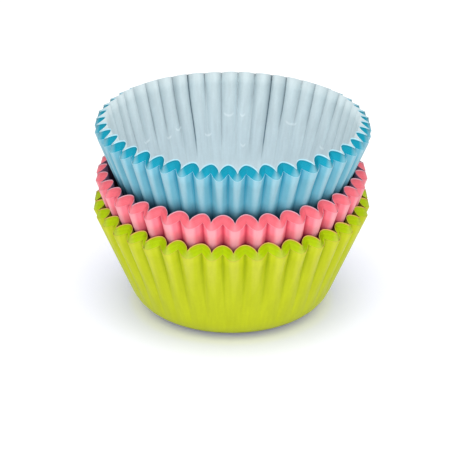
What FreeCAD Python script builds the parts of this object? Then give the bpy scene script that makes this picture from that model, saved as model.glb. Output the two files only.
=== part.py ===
import FreeCAD, Part
import math
import os
from collections import namedtuple

# Three bundles of pressed paper baking cups, set one in another.
# Each bundle is a set of like sheets, nested so closely that it is one fluted shell.
# Millimetres, +Z up. The origin is the centre of the lowest base, on the table.

# Bundle, the same in all three colours
wallThickness = 1.4         # level distance from the outer to the inner ridges at one height
bundleRise = 2.15           # how much higher the innermost sheet stands than the outermost one
outerFluteDepth = 2.7       # ridge to valley at the rim, outermost sheet
innerFluteDepth = 3.25      # ridge to valley at the rim, innermost sheet
valleyLift = 0.2            # how much longer a fold is for each millimetre that its rim end lies inward
depthLeftAtFoot = 0.16      # share of that depth where the wall meets the rounded foot
footFacets = 3              # facets around the rounded foot

# Flute section, as shares of half a flute's width and of its depth
broadFold = 0.26            # flat of the blunt folds: ridges outside, valleys inside
broadShoulder = (0.24, 0.20)
flank = (0.30, 0.62)
narrowShoulder = (0.14, 0.18)

# Lime bundle, which stands on the table
limeFlutes = 38
limeFloorRadius = 19.4
limeFootRadius = 10.5
limeRimRadius = 39.35
limeRimHeight = 30.4

# Pink bundle, its foot in the lime one
pinkFlutes = 38
pinkFloorRadius = 24.35
pinkFootRadius = 6.0
pinkRimRadius = 38.55
pinkRimHeight = 27.8

# Blue bundle, held at the rim of the pink one
blueFlutes = 47
blueFloorRadius = 19.6
blueFootRadius = 10.5
blueRimRadius = 38.95
blueRimHeight = 30.4
blueShift = 0.3             # off centre, to +X
blueTilt = 0.9              # degrees, its left side up
blueTurn = 0.5              # degrees about its axis

ridgeTurn = 1.1             # degrees that the front ridges stand to the right of centre
seatClearance = 0.15        # left between bundles where one rests in the other
halvings = 30               # steps in the search for a seat


def wallLine(floorRadius, footRadius, rimRadius, rimHeight):
    """Where the straight wall leaves the rounded foot, and its lean from upright in radians."""
    foot = FreeCAD.Vector(floorRadius, footRadius, 0)
    rim = FreeCAD.Vector(rimRadius, rimHeight, 0)
    span = rim - foot
    lean = math.atan2(span.x, span.y) - math.asin(footRadius / span.Length)
    return floorRadius + footRadius * math.cos(lean), footRadius * (1 - math.sin(lean)), lean


class Skin:
    """One face of a bundle: ridge profile, flute section and the height of its floor."""

    def __init__(self, flutes, floorRadius, footRadius, rimRadius, rimHeight, depth, outside, floorHeight):
        self.flutes = flutes
        self.floorRadius = floorRadius
        self.footRadius = footRadius
        self.depth = depth
        self.outside = outside
        self.floorHeight = floorHeight
        startRadius, startHeight, self.lean = wallLine(floorRadius, footRadius, rimRadius, rimHeight)
        self.startRadius = startRadius
        self.startHeight = startHeight
        self.rimRadius = rimRadius
        self.rimHeight = rimHeight
        self.slant = math.hypot(rimRadius - startRadius, rimHeight - startHeight)

    def steps(self, share):
        """Moves from a ridge corner to the valley corner: across and inward."""
        half = (self.rimRadius - self.depth) * math.tan(math.pi / self.flutes)
        moves = [broadShoulder, flank, narrowShoulder]
        if not self.outside:
            moves.reverse()
        return [(across * half * share, inward * self.depth * share) for across, inward in moves]

    def halfFlute(self, ridgeRadius, share):
        """Plan points from the ridge corner to the valley corner, ridge centre on +X."""
        moves = self.steps(share)
        valleyRadius = ridgeRadius - sum(inward for across, inward in moves)
        narrowFold = 1 - broadFold - broadShoulder[0] - flank[0] - narrowShoulder[0]
        ridgeShare = broadFold if self.outside else narrowFold
        room = valleyRadius * math.tan(math.pi / self.flutes) - sum(across for across, inward in moves)
        x = ridgeRadius
        y = room * ridgeShare / (broadFold + narrowFold)
        points = [(x, y)]
        for across, inward in moves:
            x -= inward
            y += across
            points.append((x, y))
        return points

    def ring(self, ridgeRadius, share, height):
        """The eight corners of one flute at a level, from ridge to the next ridge."""
        points = self.halfFlute(ridgeRadius, share)
        turn = 2 * math.pi / self.flutes
        corners = [FreeCAD.Vector(x, y, height) for x, y in points]
        for x, y in reversed(points):
            distance = math.hypot(x, y)
            angle = turn - math.atan2(y, x)
            corners.append(FreeCAD.Vector(distance * math.cos(angle), distance * math.sin(angle), height))
        return corners

    def wallCorners(self):
        """Corners of one flute at the foot and at the rim, which the valleys lift a little."""
        foot = self.ring(self.startRadius, depthLeftAtFoot, self.floorHeight + self.startHeight)
        top = self.ring(self.rimRadius, 1, self.floorHeight + self.rimHeight)
        reach = math.hypot(top[0].x, top[0].y)
        rim = []
        for low, high in zip(foot, top):
            inward = reach - math.hypot(high.x, high.y)
            rim.append(low + (high - low).normalize() * (self.slant + valleyLift * inward))
        return foot, rim

    def section(self, height):
        """Corners of one flute in a level plane, from the last corner of the flute before."""
        foot, rim = self.wallCorners()
        corners = [low + (high - low) * ((height - low.z) / (high.z - low.z)) for low, high in zip(foot, rim)]
        return [turned(corners[-1], -360 / self.flutes)] + corners

    def footRings(self):
        """Two corners a flute on each level of the rounded foot, wall end first, floor last."""
        points = self.halfFlute(self.startRadius, depthLeftAtFoot)
        middle = [(a + b) / 2 for a, b in zip(points[0], points[-1])]
        angle = math.atan2(middle[1], middle[0])
        sweep = math.pi / 2 - self.lean
        rings = []
        for k in range(footFacets - 1, -1, -1):
            along = sweep * k / footFacets
            radius = self.floorRadius + self.footRadius * math.sin(along)
            height = self.floorHeight + self.footRadius * (1 - math.cos(along))
            near = FreeCAD.Vector(radius * math.cos(angle), radius * math.sin(angle), height)
            far = turned(near, 360 / self.flutes - 2 * math.degrees(angle))
            rings.append((near, far))
        return rings


def turned(point, degrees):
    return FreeCAD.Rotation(FreeCAD.Vector(0, 0, 1), degrees).multVec(point)


def flat(*corners):
    return Part.Face(Part.makePolygon(list(corners) + [corners[0]]))


def ridgeFace(low, high, pitch):
    """The facet across a ridge, from the last corner of the flute before to the first of this."""
    return flat(turned(low[-1], -pitch), low[0], high[0], turned(high[-1], -pitch))


def skinFaces(skin):
    """Faces of one flute of a skin, without the floor."""
    pitch = 360 / skin.flutes
    foot, rim = skin.wallCorners()
    faces = [ridgeFace(foot, rim, pitch)]
    for k in range(len(foot) - 1):
        faces.append(flat(foot[k], foot[k + 1], rim[k + 1], rim[k]))
    rings = skin.footRings()
    near, far = rings[0]
    middle = len(foot) // 2
    faces.append(ridgeFace((near, far), foot, pitch))
    faces.append(flat(near, far, foot[middle], foot[middle - 1]))
    for k in range(middle - 1):
        faces.append(flat(near, foot[k], foot[k + 1]))
        faces.append(flat(far, foot[middle + k], foot[middle + k + 1]))
    for high, low in zip(rings[:-1], rings[1:]):
        faces.append(ridgeFace(low, high, pitch))
        faces.append(flat(low[0], low[1], high[1], high[0]))
    return faces


def rimFaces(outer, inner):
    """The sheets' edges between the outermost and the innermost rim, one flute."""
    pitch = 360 / outer.flutes
    low = outer.wallCorners()[1]
    high = inner.wallCorners()[1]
    low = [turned(low[-1], -pitch)] + low
    high = [turned(high[-1], -pitch)] + high
    faces = []
    for k in range(len(low) - 1):
        if k < len(low) // 2 + 1 and k > 0:
            faces.append(flat(low[k], low[k + 1], high[k]))
            faces.append(flat(low[k + 1], high[k + 1], high[k]))
        else:
            faces.append(flat(low[k], low[k + 1], high[k + 1]))
            faces.append(flat(low[k], high[k + 1], high[k]))
    return faces


def floorFace(skin):
    near, far = skin.footRings()[-1]
    pitch = 360 / skin.flutes
    corners = []
    for k in range(skin.flutes):
        corners.append(turned(near, k * pitch))
        corners.append(turned(far, k * pitch))
    return flat(*corners)


def bundle(outer, inner):
    """One flute's faces, repeated around the axis and closed by the two floors."""
    flute = skinFaces(outer) + skinFaces(inner) + rimFaces(outer, inner)
    faces = [floorFace(outer), floorFace(inner)]
    origin = FreeCAD.Vector(0, 0, 0)
    axis = FreeCAD.Vector(0, 0, 1)
    for k in range(outer.flutes):
        for face in flute:
            copy = face.copy()
            copy.rotate(origin, axis, k * 360 / outer.flutes)
            faces.append(copy)
    shell = Part.Shell(faces)
    shell.sewShape()
    solid = Part.Solid(shell)
    if solid.Volume < 0:
        solid.reverse()
    return solid


def skins(flutes, floorRadius, footRadius, rimRadius, rimHeight):
    outer = Skin(flutes, floorRadius, footRadius, rimRadius, rimHeight, outerFluteDepth, True, 0)
    # The inner skin is the outer one raised, and drawn in to keep the wall's thickness
    drawnIn = wallThickness - bundleRise * math.tan(outer.lean)
    inner = Skin(flutes, floorRadius - drawnIn, footRadius, rimRadius - drawnIn, rimHeight,
                 innerFluteDepth, False, bundleRise)
    return outer, inner


limeOuter, limeInner = skins(limeFlutes, limeFloorRadius, limeFootRadius, limeRimRadius, limeRimHeight)
pinkOuter, pinkInner = skins(pinkFlutes, pinkFloorRadius, pinkFootRadius, pinkRimRadius, pinkRimHeight)
blueOuter, blueInner = skins(blueFlutes, blueFloorRadius, blueFootRadius, blueRimRadius, blueRimHeight)


Valley = namedtuple("Valley", "footRadius footHeight rimRadius rimHeight lean")


def valleyLine(lower):
    """The folds inside a bundle that lie nearest to its axis."""
    foot, rim = lower.wallCorners()
    low = min(foot, key=lambda corner: math.hypot(corner.x, corner.y))
    high = min(rim, key=lambda corner: math.hypot(corner.x, corner.y))
    lowRadius = math.hypot(low.x, low.y)
    highRadius = math.hypot(high.x, high.y)
    lean = math.atan2(highRadius - lowRadius, high.z - low.z)
    return Valley(lowRadius, low.z, highRadius, high.z, lean)


def seatedOnWall(radius, height, lower):
    """Height of the upper bundle when its ridges, at this radius and height, meet the lower wall."""
    valley = valleyLine(lower)
    reach = radius + seatClearance / math.cos(valley.lean)
    return valley.footHeight + (reach - valley.footRadius) / math.tan(valley.lean) - height


def seatedOnRim(upper, lower, aside):
    """Height of the upper bundle when its ridges meet the valleys at the lower rim."""
    valley = valleyLine(lower)
    reach = valley.rimRadius - aside - seatClearance / math.cos(upper.lean)
    meets = upper.rimHeight - (upper.rimRadius - reach) / math.tan(upper.lean)
    if meets > upper.rimHeight:
        return seatedOnWall(upper.rimRadius + aside, upper.rimHeight, lower)
    return valley.rimHeight - meets


def radiusAt(corners, angle):
    """Distance from the axis to the outline of a flute, in the direction of an angle."""
    for a, b in zip(corners[:-1], corners[1:]):
        if math.atan2(b.y, b.x) >= angle:
            break
    return (a.x * b.y - a.y * b.x) / (math.cos(angle) * (b.y - a.y) - math.sin(angle) * (b.x - a.x))


def gapInStep(upper, lower, height):
    """Least gap at the lower rim while the ridges of both bundles stand in line."""
    level = lower.floorHeight + lower.rimHeight
    outside = upper.section(level - height)
    inside = lower.section(level)
    angles = [math.atan2(corner.y, corner.x) for corner in outside + inside]
    halfTurn = math.pi / lower.flutes
    return min(radiusAt(inside, angle) - radiusAt(outside, angle) for angle in angles if 0 <= angle <= halfTurn)


def seatedInStep(upper, lower):
    """Height of the upper bundle when its flutes meet those of the lower rim, in line with them."""
    slope = flank[1] * upper.depth / (flank[0] * (upper.rimRadius - upper.depth) * math.tan(math.pi / upper.flutes))
    wanted = seatClearance * math.hypot(1, slope)
    low = lower.floorHeight
    high = lower.floorHeight + lower.rimHeight
    for k in range(halvings):
        middle = (low + high) / 2
        if gapInStep(upper, lower, middle) < wanted:
            low = middle
        else:
            high = middle
    return high


def seatHeight(upper, lower, inStep, shift, tilt):
    """How far above the lower floor the upper bundle stands: its highest meeting with the lower one."""
    tip = math.sin(math.radians(tilt))
    valley = valleyLine(lower)
    asideAtRim = shift + valley.rimRadius * tip * math.tan(upper.lean)
    asideAtFoot = shift + upper.rimHeight * tip + upper.startRadius * tip * math.tan(valley.lean)
    onFoot = seatedOnWall(upper.startRadius + asideAtFoot, upper.startHeight, lower)
    onRim = seatedInStep(upper, lower) if inStep else seatedOnRim(upper, lower, asideAtRim)
    onFloor = lower.floorHeight + seatClearance + upper.floorRadius * tip
    return max(onFoot, onRim, onFloor)


pinkHeight = seatHeight(pinkOuter, limeInner, pinkFlutes == limeFlutes, 0, 0)
blueAbovePink = seatHeight(blueOuter, pinkInner, False, blueShift, blueTilt)
bluePivot = valleyLine(pinkInner).rimHeight - blueAbovePink
blueHeight = pinkHeight + blueAbovePink
print("pink base at", round(pinkHeight, 2), "blue base at", round(blueHeight, 2))

lime = bundle(limeOuter, limeInner)
pink = bundle(pinkOuter, pinkInner)
blue = bundle(blueOuter, blueInner)

up = FreeCAD.Vector(0, 0, 1)
front = -90 + ridgeTurn
lime.Placement = FreeCAD.Placement(FreeCAD.Vector(0, 0, 0), FreeCAD.Rotation(up, front))
pink.Placement = FreeCAD.Placement(FreeCAD.Vector(0, 0, pinkHeight), FreeCAD.Rotation(up, front))
blueTipped = FreeCAD.Placement(FreeCAD.Vector(blueShift, 0, blueHeight),
                               FreeCAD.Rotation(FreeCAD.Vector(0, 1, 0), blueTilt),
                               FreeCAD.Vector(0, 0, bluePivot))
blueSpun = FreeCAD.Placement(FreeCAD.Vector(0, 0, 0), FreeCAD.Rotation(up, front + blueTurn))
blue.Placement = blueTipped.multiply(blueSpun)

os.makedirs("parts", exist_ok=True)
for name, solid in (("lime_liners", lime), ("pink_liners", pink), ("blue_liners", blue)):
    box = solid.BoundBox
    print(name, "valid", solid.isValid(), "volume", round(solid.Volume), "faces", len(solid.Faces),
          "top", round(box.ZMax, 2), "width", round(box.XLength, 2))
    solid.exportStep("parts/" + name + ".step")
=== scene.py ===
import bpy
import math
import numpy as np
from mathutils import Euler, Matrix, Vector


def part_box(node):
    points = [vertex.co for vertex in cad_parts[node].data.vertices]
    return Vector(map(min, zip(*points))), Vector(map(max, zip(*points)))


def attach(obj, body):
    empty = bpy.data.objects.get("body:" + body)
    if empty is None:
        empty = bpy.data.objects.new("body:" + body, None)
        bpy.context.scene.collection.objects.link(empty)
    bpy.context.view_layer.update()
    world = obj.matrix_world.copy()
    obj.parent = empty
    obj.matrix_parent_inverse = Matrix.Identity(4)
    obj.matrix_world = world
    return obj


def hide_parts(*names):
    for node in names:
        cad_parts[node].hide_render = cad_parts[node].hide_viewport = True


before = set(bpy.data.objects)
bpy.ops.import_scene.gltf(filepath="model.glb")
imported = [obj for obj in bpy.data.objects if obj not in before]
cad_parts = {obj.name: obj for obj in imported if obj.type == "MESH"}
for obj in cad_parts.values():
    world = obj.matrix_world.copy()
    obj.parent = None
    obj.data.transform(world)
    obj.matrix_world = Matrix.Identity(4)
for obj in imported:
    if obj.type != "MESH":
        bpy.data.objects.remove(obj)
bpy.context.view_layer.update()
mm = 0.001


# Small helpers

def linearColour(hexText):
    values = [int(hexText[k:k + 2], 16) / 255 for k in (0, 2, 4)]
    linear = [v / 12.92 if v <= 0.04045 else ((v + 0.055) / 1.055) ** 2.4 for v in values]
    return (linear[0], linear[1], linear[2], 1.0)


def setStops(elements, stops):
    while len(elements) < len(stops):
        elements.new(0.5)
    for element, (position, hexText) in zip(elements, stops):
        element.position = position
        element.color = linearColour(hexText)


# Settings are named by socket or by property, and a colour ramp's colours are its stops
def addNode(material, kind, settings=None, links=None):
    node = material.node_tree.nodes.new(kind)
    for name, value in (settings or {}).items():
        if name == "stops":
            setStops(node.color_ramp.elements, value)
        elif isinstance(name, int) or name in node.inputs:
            node.inputs[name].default_value = value
        else:
            setattr(node, name, value)
    for name, socket in (links or {}).items():
        material.node_tree.links.new(socket, node.inputs[name])
    return node


def newMaterial(name):
    material = bpy.data.materials.new(name)
    material.use_nodes = True
    material.node_tree.nodes.clear()
    return material


def deselectAll():
    if bpy.context.object and bpy.context.object.mode != "OBJECT":
        bpy.ops.object.mode_set(mode="OBJECT")
    bpy.ops.object.select_all(action="DESELECT")


def applyModifier(piece, kind, settings):
    modifier = piece.modifiers.new(kind.lower(), kind)
    for name, value in settings.items():
        setattr(modifier, name, value)
    bpy.context.view_layer.objects.active = piece
    bpy.ops.object.modifier_apply(modifier=modifier.name)


# Camera

shot = {
    "elevation": 24.6,       # degrees above level
    "distance": 650.0,       # mm
    "target": (-1.81, 0.0, 23.47),
    "pixelsPerMm": 3.49,     # at the target
    "imageWidth": 450,
    "sensor": 36.0,
    "nearest": 10.0,         # mm, where the view begins
}


def addCamera():
    elevation = math.radians(shot["elevation"])
    back = Vector((0, -math.cos(elevation), math.sin(elevation)))
    place = (Vector(shot["target"]) + back * shot["distance"]) * mm
    bpy.ops.object.camera_add(location=place, rotation=(math.pi / 2 - elevation, 0, 0))
    camera = bpy.context.object
    camera.name = "camera"
    focal = shot["pixelsPerMm"] * shot["distance"] / shot["imageWidth"]
    camera.data.sensor_width = shot["sensor"]
    camera.data.lens = shot["sensor"] * focal
    camera.data.clip_start = shot["nearest"] * mm
    bpy.context.scene.camera = camera
    print("camera placed")


# Floor and lamps

studio = {
    "world": 0.72,           # brightness of the surround where it lights the paper
    "worldSeen": 1.0,        # and where it is seen: plain white
    "lamps": {
        "overhead": {"size": 520.0, "power": 2.1, "place": (15.0, -150.0, 740.0)},
        "front": {"size": 700.0, "power": 2.7, "place": (0.0, -880.0, 330.0)},
    },
    "floorSize": 6000.0,
    "board": "FFFFFF",
    "boardLighting": "E6E6E6",   # the floor as it lights the paper
    "floorGlow": 0.225,
    "glowTouch": "A4A4CC",
    "glowNear": "7878FF",    # takes up the yellow that the lime cups throw on the floor beside them
    "glowFar": "C4C4C4",
    "nearShares": (0.05, 0.28),  # between these shares of the reach the near colour is full
    "glowReach": (28.0, 75.0),   # mm from the middle
}


# 1 for what the camera sees, straight or in a reflection, and 0 for light on its way to a surface
def seenRay(material):
    path = addNode(material, "ShaderNodeLightPath")
    straight = addNode(material, "ShaderNodeMath", {"operation": "MAXIMUM"}, {
        0: path.outputs["Is Camera Ray"], 1: path.outputs["Is Glossy Ray"]})
    either = addNode(material, "ShaderNodeMath", {"operation": "MAXIMUM"}, {
        0: straight.outputs["Value"], 1: path.outputs["Is Transmission Ray"]})
    return either.outputs["Value"]


# Matt white card. It is seen a little brighter than it is lit, so it is plain white away from the shadow
def whiteCard():
    material = newMaterial("white studio board")
    place = addNode(material, "ShaderNodeTexCoord")
    away = addNode(material, "ShaderNodeVectorMath", {"operation": "LENGTH"}, {0: place.outputs["Object"]})
    near, far = studio["glowReach"]
    reach = addNode(material, "ShaderNodeMapRange", {"From Min": near * mm, "From Max": far * mm},
                    {"Value": away.outputs["Value"]})
    fullFrom, fullTo = studio["nearShares"]
    tint = addNode(material, "ShaderNodeValToRGB", {"stops": [
        (0.0, studio["glowTouch"]),
        (fullFrom, studio["glowNear"]),
        (fullTo, studio["glowNear"]),
        (1.0, studio["glowFar"])]}, {"Fac": reach.outputs["Result"]})
    glow = addNode(material, "ShaderNodeEmission", {"Strength": studio["floorGlow"]},
                   {"Color": tint.outputs["Color"]})
    board = addNode(material, "ShaderNodeBsdfDiffuse", {"Color": linearColour(studio["board"])})
    seen = addNode(material, "ShaderNodeAddShader", links={
        0: board.outputs["BSDF"], 1: glow.outputs["Emission"]})
    lighting = addNode(material, "ShaderNodeBsdfDiffuse", {"Color": linearColour(studio["boardLighting"])})
    mix = addNode(material, "ShaderNodeMixShader", links={
        0: seenRay(material), 1: lighting.outputs["BSDF"], 2: seen.outputs["Shader"]})
    addNode(material, "ShaderNodeOutputMaterial", links={"Surface": mix.outputs["Shader"]})
    return material


def addFloor():
    deselectAll()
    bpy.ops.mesh.primitive_plane_add(size=studio["floorSize"] * mm, location=(0, 0, 0))
    floor = bpy.context.object
    floor.name = "floor"
    floor.data.materials.append(whiteCard())
    print("floor placed")


def addLights():
    world = bpy.data.worlds.new("studio")
    bpy.context.scene.world = world
    world.use_nodes = True
    background = world.node_tree.nodes["Background"]
    background.inputs["Color"].default_value = (1, 1, 1, 1)
    strength = addNode(world, "ShaderNodeMapRange", {
        "To Min": studio["world"], "To Max": studio["worldSeen"]}, {"Value": seenRay(world)})
    world.node_tree.links.new(strength.outputs["Result"], background.inputs["Strength"])
    for name, settings in studio["lamps"].items():
        place = Vector(settings["place"]) * mm
        bpy.ops.object.light_add(type="AREA", location=place)
        lamp = bpy.context.object
        lamp.name = name
        lamp.data.size = settings["size"] * mm
        lamp.data.energy = settings["power"]
        lamp.rotation_euler = (-place).to_track_quat("-Z", "Y").to_euler()
    print("lamps placed")


# Where the sheets of a bundle run

# The paper of all three colours, and how a bundle of cups is nested. Millimetres
paper = {
    "sheets": 16,            # the outermost and the innermost are whole
    "thickness": 0.08,
    "segments": 12,          # mesh columns across one flute
    "footRows": 9,
    "wallRows": 9,
    "rimRows": 3,
    "rimStrip": 4.0,         # how far the middle sheets reach down from the rim
    "wallThickness": 1.4,    # level, from the outermost to the innermost ridge
    "rise": 2.15,            # innermost rim above the outermost
    "outerDepth": 2.6,       # ridge to valley at the rim
    "innerDepth": 2.9,
    "outerBluntness": 1.15,  # 1 pleats along parabolas, 0.5 along half circles
    "innerBluntness": 0.75,
    "valleyLift": 0.5,       # a valley's end above a ridge's, for each millimetre inward
    "depthLeftAtFoot": 0.06,
    "deepening": 1.2,        # 1 deepens the flutes evenly up the wall, more than 1 nearer to the rim
}

# How unevenly the flutes are pressed
unevenness = {
    "sideAtRim": 0.05,       # shares of a flute
    "sideAtFoot": 0.12,
    "waver": 0.03,
    "valleySide": 0.07,
    "ridge": (-0.12, 0.02),  # mm outward
    "valley": (-0.02, 0.28),
    "rimHeight": 0.07,       # mm up or down
    "rimFade": 8,            # the higher, the nearer to the rim the sheets' heights differ
    "spreadWidth": 23.0,     # degrees over which a bundle's spread dies away
    "tone": 0.05,            # brightness of a stacked sheet
    "shadeBelowLipFade": 6,           # the higher, the fewer sheets next to the innermost take the painted shade below its rim
}

# Painted shade where folds are pressed shut: a thin dark core and a faint shade beside it. The way up is
# measured along the paper here and in the colours, from the edge of the base to the rim
foldShade = {
    "plain": (0.15, 0.6),    # flutes that aren't listed: how dark the painted shade is, and down to which share of the way up
    "coreWidth": 0.01,       # shares of the way from ridge to valley
    "shadeWidth": 0.7,
    "shade": 0.3,
    "fade": 0.15,            # share of the way up
}


# The wall's lean from upright, and the lengths of the rounded foot and of the straight wall
def wallLine(bundle):
    floorRadius = bundle["floorRadius"]
    footRadius = bundle["footRadius"]
    across = bundle["rimRadius"] - floorRadius
    up = bundle["rimHeight"] - footRadius
    lean = math.atan2(across, up) - math.asin(footRadius / math.hypot(across, up))
    startRadius = floorRadius + footRadius * math.cos(lean)
    startHeight = footRadius * (1 - math.sin(lean))
    slant = math.hypot(bundle["rimRadius"] - startRadius, bundle["rimHeight"] - startHeight)
    return lean, footRadius * (math.pi / 2 - lean), slant


# Strays of the folds, which all sheets of a bundle share because they were pressed together
def pressFlutes(bundle):
    draw = np.random.default_rng(bundle["seed"])
    count = bundle["flutes"]
    return {
        "sideAtRim": draw.uniform(-1, 1, count) * unevenness["sideAtRim"],
        "sideAtFoot": draw.uniform(-1, 1, count) * unevenness["sideAtFoot"],
        "ridge": draw.uniform(*unevenness["ridge"], count),
        "valley": draw.uniform(*unevenness["valley"], count),
        "waver": draw.uniform(-1, 1, count) * unevenness["waver"],
        "valleySide": draw.uniform(-1, 1, count) * unevenness["valleySide"],
    }


# Painted shade in and beside the folds pressed shut: 0 none, 1 the full shade colour
def grooveShading(bundle, flute, fromRidge, share):
    plainStrength, plainEnd = foldShade["plain"]
    strength = np.full(bundle["flutes"], plainStrength)
    end = np.full(bundle["flutes"], plainEnd)
    for number, (darkness, lowest) in bundle["shadedFolds"].items():
        strength[number] = darkness
        end[number] = lowest
    core = (fromRidge < foldShade["coreWidth"]) * 1.0
    beside = foldShade["shade"] * (1 - fromRidge / foldShade["shadeWidth"]).clip(0, 1)
    fade = ((share - end[flute]) / foldShade["fade"]).clip(0, 1)
    return strength[flute] * fade * np.maximum(core, beside)


# Points of one sheet, layer 0 outermost and 1 innermost, and the values that its colours need
def sheetPoints(bundle, folds, layer, column, along, draw):
    lean, footLength, slant = wallLine(bundle)
    count = bundle["flutes"]
    flute = column // paper["segments"]
    after = (flute + 1) % count
    phase = column % paper["segments"] / paper["segments"]

    def between(values):
        return values[flute] * (1 - phase) + values[after] * phase

    # Outside the ridges are blunt and the valleys sharp, inside it is the other way about
    fromRidge = 1 - np.abs(1 - 2 * phase)
    outside = (1 - fromRidge ** 2) ** paper["outerBluntness"]
    inside = 1 - (1 - (1 - fromRidge) ** 2) ** paper["innerBluntness"]
    height = outside * (1 - layer) + inside * layer
    onFoot = np.clip(along / footLength, 0, 1)
    onWall = np.clip((along - footLength) / slant, 0, None)
    share = paper["depthLeftAtFoot"] * onFoot ** 2 * (1 - onWall.clip(0, 1)) + onWall ** paper["deepening"]
    depth = paper["outerDepth"] + (paper["innerDepth"] - paper["outerDepth"]) * layer
    stray = between(folds["ridge"]) * height + folds["valley"][flute] * (1 - height)
    inward = (depth * (1 - height) - stray) * share

    # The rounded foot, then the straight wall
    bend = onFoot * (math.pi / 2 - lean)
    drawnIn = (paper["wallThickness"] - paper["rise"] * math.tan(lean)) * layer
    radius = bundle["floorRadius"] + bundle["footRadius"] * np.sin(bend) - drawnIn
    radius = radius + onWall * slant * math.sin(lean) - inward
    z = bundle["footRadius"] * (1 - np.cos(bend)) + paper["rise"] * layer
    z = z + onWall * slant * math.cos(lean) + paper["valleyLift"] * inward * onWall
    uneven = draw.uniform(-1, 1, count) * unevenness["rimHeight"]
    z = z + between(uneven) * onWall ** unevenness["rimFade"]

    # Round the axis, with the flutes' own strays and then the spread of the whole bundle
    side = between(folds["sideAtRim"]) * onWall + between(folds["sideAtFoot"]) * (1 - onWall)
    side = side + between(folds["waver"]) * np.sin(2 * np.pi * onWall)
    side = side + folds["valleySide"][flute] * fromRidge * onWall.clip(0, 1)
    turns = (flute + phase + side) / count
    widest, where = bundle["spread"]
    fromWidest = (turns * 360 - where + 180) % 360 - 180
    turns = turns + widest / 360 * np.exp(-(fromWidest / unevenness["spreadWidth"]) ** 2 / 2)
    angle = 2 * math.pi * turns + math.radians(bundle["turn"] - 90)
    z = z - bundle["backDrop"] * (0.5 + 0.5 * np.sin(angle)) * onWall
    points = np.stack([radius * np.cos(angle), radius * np.sin(angle), z], 1)

    # The count starts at the front for the innermost sheet and at the back for the others, out of view
    seam = 0 if layer == 1 else count / 2
    values = {
        "fold": 0.5 + (0.5 - height) * share.clip(0, 1),
        "rise": along / (footLength + slant),
        "around": (flute + phase + seam) % count,
        "groove": grooveShading(bundle, flute, fromRidge, along / (footLength + slant)),
    }
    return points, values


# Centre of the bundle's base and its tip, from the box of its solid
def bundlePlace(bundle):
    low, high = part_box(bundle["node"])
    tip = math.radians(bundle["tilt"])
    x = (low[0] + high[0]) / 2 / mm - math.sin(tip) * bundle["rimHeight"]
    y = (low[1] + high[1]) / 2 / mm
    z = low[2] / mm + math.sin(tip) * bundle["floorRadius"]
    return np.array((x, y, z)), np.array(Euler((0, tip, 0)).to_matrix())


# A ring of paper, extruded row by row from a circle and then pleated
def addSheet(bundle, name, layer, rows, closed, draw):
    columns = bundle["flutes"] * paper["segments"]
    deselectAll()
    fill = "NGON" if closed else "NOTHING"
    bpy.ops.mesh.primitive_circle_add(vertices=columns, radius=1.0, fill_type=fill)
    piece = bpy.context.object
    piece.name = name
    bpy.ops.object.mode_set(mode="EDIT")
    bpy.ops.mesh.select_mode(type="EDGE")
    bpy.ops.mesh.select_all(action="SELECT")
    for k in range(1, len(rows)):
        bpy.ops.mesh.extrude_edges_move(TRANSFORM_OT_translate={"value": (0, 0, 1.0)})
    bpy.ops.object.mode_set(mode="OBJECT")

    # A point's height gives its row, and its direction its column. The quarter allows for rounding errors,
    # and for a circle that starts half a column away from zero
    mesh = piece.data
    place = np.zeros(len(mesh.vertices) * 3)
    mesh.vertices.foreach_get("co", place)
    place = place.reshape(-1, 3)
    row = np.rint(place[:, 2]).astype(int)
    turns = np.arctan2(place[:, 1], place[:, 0]) / (2 * math.pi) * columns
    column = np.floor(turns + 0.25).astype(int) % columns
    along = np.array(rows)[row]
    points, values = sheetPoints(bundle, pressFlutes(bundle), layer, column, along, draw)
    # Each sheet's brightness differs at random, and painted shade darkens the sheets next to the innermost
    tone = draw.uniform(-1, 1) * unevenness["tone"] + bundle["shadeBelowLip"] * layer ** unevenness["shadeBelowLipFade"]
    values["tone"] = np.full(len(points), tone)
    base, tip = bundlePlace(bundle)
    mesh.vertices.foreach_set("co", ((points @ tip.T + base) * mm).ravel())
    for key, value in values.items():
        attribute = mesh.attributes.new(key, "FLOAT", "POINT")
        attribute.data.foreach_set("value", value.astype(np.float32))
    mesh.update()

    # Faces outwards before the paper gets its thickness
    bpy.ops.object.mode_set(mode="EDIT")
    bpy.ops.mesh.select_all(action="SELECT")
    bpy.ops.mesh.normals_make_consistent(inside=False)
    bpy.ops.object.mode_set(mode="OBJECT")
    wall = mesh.polygons[len(mesh.polygons) - 1]
    if wall.normal.x * wall.center.x + wall.normal.y * wall.center.y < 0:
        bpy.ops.object.mode_set(mode="EDIT")
        bpy.ops.mesh.flip_normals()
        bpy.ops.object.mode_set(mode="OBJECT")
    bpy.ops.object.shade_smooth()
    return piece


# Thickness goes inward; the three materials are the outside, the inside and the cut edge
def thicken(piece, materials):
    for material in materials:
        piece.data.materials.append(material)
    applyModifier(piece, "SOLIDIFY", {
        "thickness": paper["thickness"] * mm,
        "offset": -1.0,
        "use_rim": True,
        "material_offset": 1,
        "material_offset_rim": 2,
    })


# Materials: greaseproof baking paper, pressed hot into a satin finish

finish = {
    "mottlePerMm": 1.4,      # clumps of fibre, 0.7 mm apart
    "cloudPerMm": 0.18,      # uneven density, 5.6 mm apart
    "mottleBrightness": (0.96, 1.03),
    "streaksPerFlute": 4.0,
    "streakBrightness": (0.94, 1.05),
    "streakShares": (0.05, 0.4),  # shares of the way up between which the streaks come in
    "relief": 0.05,          # mm
    "reliefStrength": 0.12,
    "ior": 1.5,
    "shine": 0.12,
    "dyedRoughness": 0.45,
    "bandRoughness": 0.5,
    "insideRoughness": 0.6,
    "cutRoughness": 0.7,
}

# Painted highlights along the creases on the inside of the top cup; lengths are shares of the way up
creaseHighlight = {
    "sag": 0.022,
    "width": 0.014,
    "strength": 0.55,
}


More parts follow.
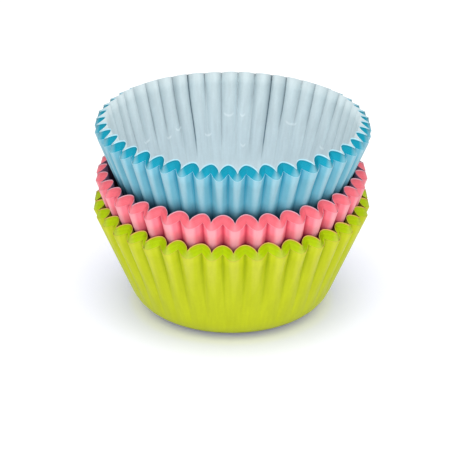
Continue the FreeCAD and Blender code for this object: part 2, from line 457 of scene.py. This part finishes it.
# Fibres show as a faint mottle, a faint relief and fine streaks along the flutes
def finishPaper(material, colour, roughness):
    place = addNode(material, "ShaderNodeTexCoord").outputs["Object"]
    mottle = addNode(material, "ShaderNodeTexNoise", {"Scale": finish["mottlePerMm"] / mm, "Detail": 4.0},
                     {"Vector": place})
    cloud = addNode(material, "ShaderNodeTexNoise", {"Scale": finish["cloudPerMm"] / mm, "Detail": 2.0},
                    {"Vector": place})
    both = addNode(material, "ShaderNodeMath", {"operation": "ADD"}, {
        0: mottle.outputs["Fac"], 1: cloud.outputs["Fac"]})
    darkest, lightest = finish["mottleBrightness"]
    mottled = addNode(material, "ShaderNodeMapRange", {
        "From Min": 0.6, "From Max": 1.4, "To Min": darkest, "To Max": lightest}, {
        "Value": both.outputs["Value"]})

    around = addNode(material, "ShaderNodeAttribute", {"attribute_name": "around"})
    rise = addNode(material, "ShaderNodeAttribute", {"attribute_name": "rise"})
    along = addNode(material, "ShaderNodeCombineXYZ", links={
        "X": around.outputs["Fac"], "Y": rise.outputs["Fac"]})
    streaks = addNode(material, "ShaderNodeTexNoise", {"Scale": finish["streaksPerFlute"], "Detail": 3.0},
                      {"Vector": along.outputs["Vector"]})
    darkest, lightest = finish["streakBrightness"]
    streak = addNode(material, "ShaderNodeMapRange", {
        "From Min": 0.3, "From Max": 0.7, "To Min": darkest, "To Max": lightest}, {
        "Value": streaks.outputs["Fac"]})
    none, full = finish["streakShares"]
    onWall = addNode(material, "ShaderNodeMapRange", {"From Min": none, "From Max": full},
                     {"Value": rise.outputs["Fac"]})
    # Sockets of the mix by number: 0 its factor, 2 and 3 its two values
    streaky = addNode(material, "ShaderNodeMix", {2: 1.0}, {
        0: onWall.outputs["Result"], 3: streak.outputs["Result"]})

    brightness = addNode(material, "ShaderNodeMath", {"operation": "MULTIPLY"}, {
        0: mottled.outputs["Result"], 1: streaky.outputs[0]})
    tinted = addNode(material, "ShaderNodeHueSaturation", links={
        "Color": colour, "Value": brightness.outputs["Value"]})
    bump = addNode(material, "ShaderNodeBump", {
        "Strength": finish["reliefStrength"], "Distance": finish["relief"] * mm}, {
        "Height": mottle.outputs["Fac"]})
    shader = addNode(material, "ShaderNodeBsdfPrincipled", {
        "Roughness": roughness, "IOR": finish["ior"], "Specular IOR Level": finish["shine"]}, {
        "Base Color": tinted.outputs["Color"], "Normal": bump.outputs["Normal"]})
    addNode(material, "ShaderNodeOutputMaterial", links={"Surface": shader.outputs["BSDF"]})
    return material


# Paper dyed on its outside. A painted sheen makes the ridges paler, and painted shade darkens the valleys
def dyedPaper(name, bundle):
    material = newMaterial(name)
    fold = addNode(material, "ShaderNodeAttribute", {"attribute_name": "fold"})
    rise = addNode(material, "ShaderNodeAttribute", {"attribute_name": "rise"})
    # Painted sheen on the ridges, the dye's own colour on the faces, painted shade in the valleys
    dyeAndPaintedLight = addNode(material, "ShaderNodeValToRGB", {"stops": [
        (0.13, bundle["ridge"]),
        (0.32, bundle["face"]),
        (0.6, bundle["face"]),
        (0.9, bundle["valleyShade"])]}, {"Fac": fold.outputs["Fac"]})
    # Painted shade, darkest in the valleys, and towards the foot
    top, bottom = bundle["paintedShade"]
    paintedShade = addNode(material, "ShaderNodeMapRange", {
        "From Min": top, "From Max": bottom, "To Min": 0.0, "To Max": 0.85}, {"Value": rise.outputs["Fac"]})
    valleys = addNode(material, "ShaderNodeMapRange", {
        "From Min": 0.1, "From Max": 0.5, "To Min": 0.4, "To Max": 1.0}, {"Value": fold.outputs["Fac"]})
    shade = addNode(material, "ShaderNodeMath", {"operation": "MULTIPLY"}, {
        0: paintedShade.outputs["Result"], 1: valleys.outputs["Result"]})
    colour = addNode(material, "ShaderNodeMixRGB", {"Color2": linearColour(bundle["paintedShadeColour"])}, {
        "Fac": shade.outputs["Value"], "Color1": dyeAndPaintedLight.outputs["Color"]})
    return finishPaper(material, colour.outputs["Color"], finish["dyedRoughness"])


# Painted highlight along a shallow smile where the pressed paper gave way, at a flute's number and a share of
# the way up
def creaseMask(material, around, rise, across, up, halfWidth):
    aside = addNode(material, "ShaderNodeMath", {
        "operation": "MULTIPLY_ADD", 1: 1 / halfWidth, 2: -across / halfWidth}, {0: around})
    square = addNode(material, "ShaderNodeMath", {"operation": "MULTIPLY"}, {
        0: aside.outputs["Value"], 1: aside.outputs["Value"]})
    line = addNode(material, "ShaderNodeMath", {
        "operation": "MULTIPLY_ADD", 1: creaseHighlight["sag"], 2: up}, {0: square.outputs["Value"]})
    off = addNode(material, "ShaderNodeMath", {"operation": "SUBTRACT"}, {0: rise, 1: line.outputs["Value"]})
    distance = addNode(material, "ShaderNodeMath", {"operation": "ABSOLUTE"}, {0: off.outputs["Value"]})
    near = addNode(material, "ShaderNodeMapRange", {
        "From Max": creaseHighlight["width"], "To Min": creaseHighlight["strength"], "To Max": 0.0},
        {"Value": distance.outputs["Value"]})
    within = addNode(material, "ShaderNodeMapRange", {
        "From Min": 0.5, "From Max": 1.0, "To Min": 1.0, "To Max": 0.0}, {"Value": square.outputs["Value"]})
    mask = addNode(material, "ShaderNodeMath", {"operation": "MULTIPLY"}, {
        0: near.outputs["Result"], 1: within.outputs["Result"]})
    return mask.outputs["Value"]


# The undyed side of the same paper, rougher, with painted shade: darker towards the bottom, and down in the
# folds pressed shut
def insidePaper(name, bundle):
    material = newMaterial(name)
    rise = addNode(material, "ShaderNodeAttribute", {"attribute_name": "rise"}).outputs["Fac"]
    around = addNode(material, "ShaderNodeAttribute", {"attribute_name": "around"}).outputs["Fac"]
    groove = addNode(material, "ShaderNodeAttribute", {"attribute_name": "groove"}).outputs["Fac"]
    wall = addNode(material, "ShaderNodeValToRGB", {"stops": [
        (0.5, bundle["insideShadedLow"]),
        (0.95, bundle["inside"])]}, {"Fac": rise})
    colour = addNode(material, "ShaderNodeMixRGB", {"Color2": linearColour(bundle["groove"])}, {
        "Fac": groove, "Color1": wall.outputs["Color"]})
    # Painted highlights along the creases
    for across, up, halfWidth in bundle["creases"]:
        smile = creaseMask(material, around, rise, across, up, halfWidth)
        colour = addNode(material, "ShaderNodeMixRGB", {"Color2": linearColour(bundle["creaseHighlight"])}, {
            "Fac": smile, "Color1": colour.outputs["Color"]})
    return finishPaper(material, colour.outputs["Color"], finish["insideRoughness"])


# The dyed strips of the sheets that show between the two rims, each a little lighter or darker at random.
# Painted sheen makes their ridges paler, and painted shade darkens the sheets next to the innermost
def stackedSheets(name, bundle):
    material = newMaterial(name)
    fold = addNode(material, "ShaderNodeAttribute", {"attribute_name": "fold"})
    tone = addNode(material, "ShaderNodeAttribute", {"attribute_name": "tone"})
    # Painted sheen makes the ridges of the strips paler
    dyeAndPaintedLight = addNode(material, "ShaderNodeValToRGB", {"stops": [
        (0.06, bundle["bandRidgeSheen"]),
        (0.4, bundle["band"])]}, {"Fac": fold.outputs["Fac"]})
    brightness = addNode(material, "ShaderNodeMath", {"operation": "ADD", 1: 1.0}, {0: tone.outputs["Fac"]})
    toned = addNode(material, "ShaderNodeHueSaturation", links={
        "Color": dyeAndPaintedLight.outputs["Color"], "Value": brightness.outputs["Value"]})
    return finishPaper(material, toned.outputs["Color"], finish["bandRoughness"])


# Outside of the innermost sheet: dyed like the others, and pale along its rim, where the pale edge of the
# paper shows with a painted highlight
def innerLip(name, bundle):
    material = newMaterial(name)
    rise = addNode(material, "ShaderNodeAttribute", {"attribute_name": "rise"})
    colour = addNode(material, "ShaderNodeValToRGB", {"stops": [
        (0.993, bundle["band"]),
        (0.997, bundle["edge"])]}, {"Fac": rise.outputs["Fac"]})
    return finishPaper(material, colour.outputs["Color"], finish["bandRoughness"])


# Cut edge, where the pale core of the paper shows and scatters light; its colour also carries a painted
# highlight along the rims
def cutEdge(name, bundle):
    material = newMaterial(name)
    colour = addNode(material, "ShaderNodeRGB")
    colour.outputs["Color"].default_value = linearColour(bundle["edge"])
    return finishPaper(material, colour.outputs["Color"], finish["cutRoughness"])


# Bundles. Lengths in millimetres, and colours as hex

lime = {
    "node": "lime_liners",
    "flutes": 38,
    "floorRadius": 19.4,
    "footRadius": 10.5,
    "rimRadius": 39.35,
    "rimHeight": 30.4,
    "tilt": 0.0,             # degrees, left side up
    "turn": 1.1,             # degrees, a front ridge right of centre
    "spread": (0.0, 0.0),    # widest shift of the flutes, and where, in degrees right of the front
    "backDrop": 0.0,         # the rim's back below its front
    "seed": 3,               # strays of the folds
    "sheetSeed": 103,        # strays of single sheets
    "paintedShade": (0.18, 0.11),    # shares of the way up between which painted shade darkens the outside, here a contact shadow towards the table
    "paintedShadeColour": "4E5808",
    # The ridge colour is the dye with a painted sheen, and the valley colour after the face is painted shade
    "ridge": "D0D63E",
    "face": "C6D022",
    "valleyShade": "A8B800",
    # Inside colours darkened as painted shade, most towards the bottom: this side shows only in the shaded
    # gap around the bundle nested in it
    "inside": "6A7018",
    "insideShadedLow": "50560C",
    "groove": "363C06",
    "shadedFolds": {},
    "creases": [],
    "band": "B8D400",
    "bandRidgeSheen": "C4D244",
    "shadeBelowLip": -0.1,       # painted shade on the stacked sheets next to the innermost, below its rim
    "edge": "E8BC62",
    "rimStand": 0.12,        # innermost sheet above its neighbours
}

pink = {
    "node": "pink_liners",
    "flutes": 38,
    "floorRadius": 24.35,
    "footRadius": 6.0,
    "rimRadius": 38.55,
    "rimHeight": 27.8,
    "tilt": 0.0,
    "turn": 1.1,
    "spread": (0.0, 0.0),
    "backDrop": 0.0,
    "seed": 5,
    "sheetSeed": 105,
    "paintedShade": (0.93, 0.79),    # here and in blue it is painted shade down in the cup below
    "paintedShadeColour": "8A0C2A",
    # The ridge colour is the dye with a painted sheen, and the valley colour after the face is painted shade
    "ridge": "FFA8B2",
    "face": "FF8494",
    "valleyShade": "E04C62",
    # Inside colours darkened as painted shade, most towards the bottom: this side shows only in the shaded
    # gap around the bundle nested in it
    "inside": "7C566C",
    "insideShadedLow": "403650",
    "groove": "2C2438",
    "shadedFolds": {},
    "creases": [],
    "band": "FF7A88",
    "bandRidgeSheen": "FF96A2",
    "shadeBelowLip": -0.15,
    "edge": "ECB4C2",
    "rimStand": 0.1,
}

blue = {
    "node": "blue_liners",
    "flutes": 47,
    "floorRadius": 19.6,
    "footRadius": 10.5,
    "rimRadius": 38.95,
    "rimHeight": 30.4,
    "tilt": 0.9,
    "turn": 1.6,
    "spread": (5.2, 62.0),
    "backDrop": 0.6,
    "seed": 8,
    "sheetSeed": 108,
    "paintedShade": (0.76, 0.6),
    "paintedShadeColour": "123A60",
    # The ridge colour is the dye with a painted sheen, and the valley colour after the face is painted shade
    "ridge": "9ECCDC",
    "face": "74BAD0",
    "valleyShade": "2F9ABB",
    "inside": "CFDEE2",
    "insideShadedLow": "CAD9DF",
    "groove": "3E5C6C",
    # By the number of the flute, from the front to the right: how dark the painted shade in its fold is, and
    # down to which share of the way up
    "shadedFolds": {
        14: (0.3, 0.6), 16: (0.8, 0.76), 17: (0.3, 0.6), 18: (0.7, 0.62), 20: (0.85, 0.58), 21: (1.0, 0.35),
        22: (0.35, 0.7), 24: (0.4, 0.4), 25: (0.55, 0.78), 26: (1.0, 0.35), 27: (0.5, 0.5), 28: (0.6, 0.55),
        29: (0.7, 0.5), 31: (0.5, 0.5), 33: (0.3, 0.5)},
    # The number of the flute, the share of the way up, and half the width in flutes
    "creases": [
        (23.55, 0.67, 0.34), (25.0, 0.515, 0.3), (22.4, 0.43, 0.2), (22.55, 0.67, 0.2), (19.05, 0.655, 0.45),
        (28.05, 0.54, 0.25), (27.2, 0.59, 0.3), (30.1, 0.565, 0.35), (16.0, 0.555, 0.3)],
    "creaseHighlight": "F0F8FC",
    "band": "14A4C0",
    "bandRidgeSheen": "84C4D6",
    "shadeBelowLip": -0.4,
    "edge": "BCE8F6",
    "rimStand": 0.2,
}


# The sheets between the outermost and the innermost show only at the rim, so they are strips
def addRimStrips(bundle, name, total, material, draw):
    rows = list(np.linspace(total - paper["rimStrip"], total, paper["rimRows"]))
    strips = []
    for k in range(1, paper["sheets"] - 1):
        layer = k / (paper["sheets"] - 1)
        strip = addSheet(bundle, name + "_rim_" + str(k), layer, rows, False, draw)
        thicken(strip, [material, material, material])
        strips.append(strip)
    deselectAll()
    for strip in strips:
        strip.select_set(True)
    bpy.context.view_layer.objects.active = strips[0]
    bpy.ops.object.join()
    strips[0].name = name + "_middle_sheets"
    return strips[0]


def addBundle(bundle):
    name = bundle["node"].split("_")[0]
    lean, footLength, slant = wallLine(bundle)
    total = footLength + slant
    wall = list(np.linspace(0, footLength, paper["footRows"], endpoint=False))
    wall += list(np.linspace(footLength, total, paper["wallRows"]))
    draw = np.random.default_rng(bundle["sheetSeed"])
    dyed = dyedPaper(name + " dyed baking paper", bundle)
    inside = insidePaper(name + " undyed side of the paper", bundle)
    stacked = stackedSheets(name + " stacked sheets", bundle)
    lip = innerLip(name + " lip of the top sheet", bundle)
    cut = cutEdge(name + " cut edge of the paper", bundle)

    outer = addSheet(bundle, name + "_outer_sheet", 0.0, wall, True, draw)
    thicken(outer, [dyed, inside, cut])
    middle = addRimStrips(bundle, name, total, stacked, draw)
    wall[-1] += bundle["rimStand"]
    inner = addSheet(bundle, name + "_inner_sheet", 1.0, wall, True, draw)
    thicken(inner, [lip, inside, cut])
    for piece in (outer, middle, inner):
        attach(piece, "root")
        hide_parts(bundle["node"])
    print(name, "bundle made")


addCamera()
addFloor()
addLights()
for bundle in (lime, pink, blue):
    addBundle(bundle)

bpy.context.scene.view_settings.view_transform = "Standard"
